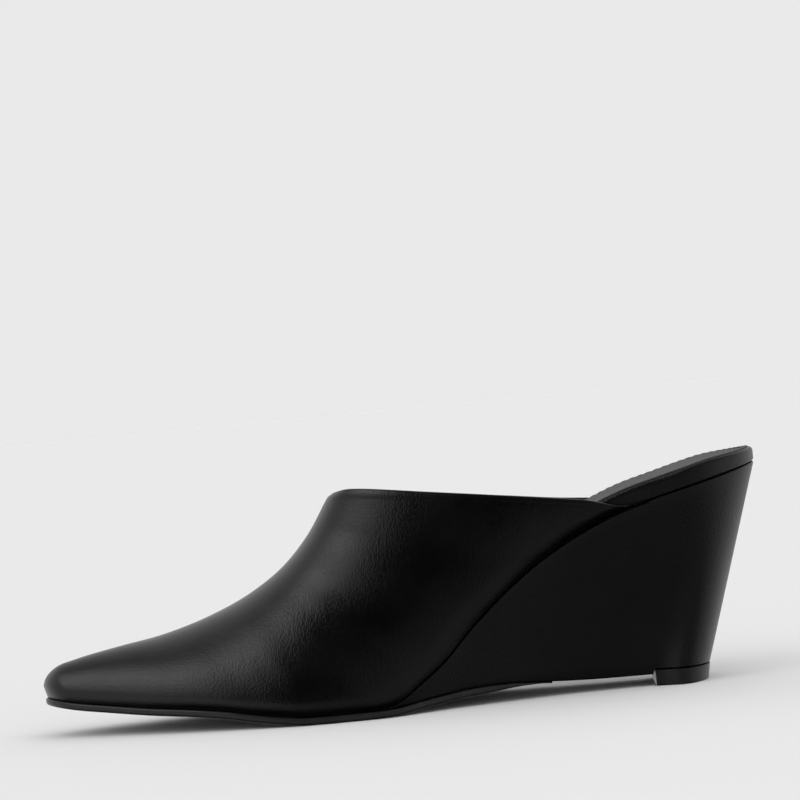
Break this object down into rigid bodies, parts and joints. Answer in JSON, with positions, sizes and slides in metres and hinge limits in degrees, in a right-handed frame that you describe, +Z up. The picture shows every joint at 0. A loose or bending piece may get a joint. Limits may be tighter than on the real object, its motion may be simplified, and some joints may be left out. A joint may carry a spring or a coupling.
{
  "type": "wedge mule shoe",
  "caption": "Pointed mule with a closed toe, an open back, a leather-covered wedge heel, a leather-wrapped footbed and a thin sole; it is worn on the left foot and stands on its tread and heel tap.",
  "frame": {"origin": "centre of the shoe's bounding box, on the floor that it stands on", "axes": "+X from the toe to the heel, +Y towards the inner side of the foot, +Z up"},
  "size_m": [0.258, 0.0794, 0.0799],
  "materials": {
    "upper_leather": "smooth black calf leather, fine grain, satin shine",
    "wedge_leather": "smooth black leather stretched over the wedge, satin",
    "footbed_leather": "smooth black leather wrapped round the rim",
    "sock": "matt dark grey sock lining with an edge stitch",
    "sole": "black moulded sole with a smooth satin edge",
    "tap": "black dense heel tap, satin"
  },
  "bodies": {
    "root": {"upper": "upper_leather", "insole_board": "footbed_leather", "sock_lining": "sock", "wedge_heel": "wedge_leather", "outsole": "sole", "heel_tap": "tap"}
  },
  "joints": []
}
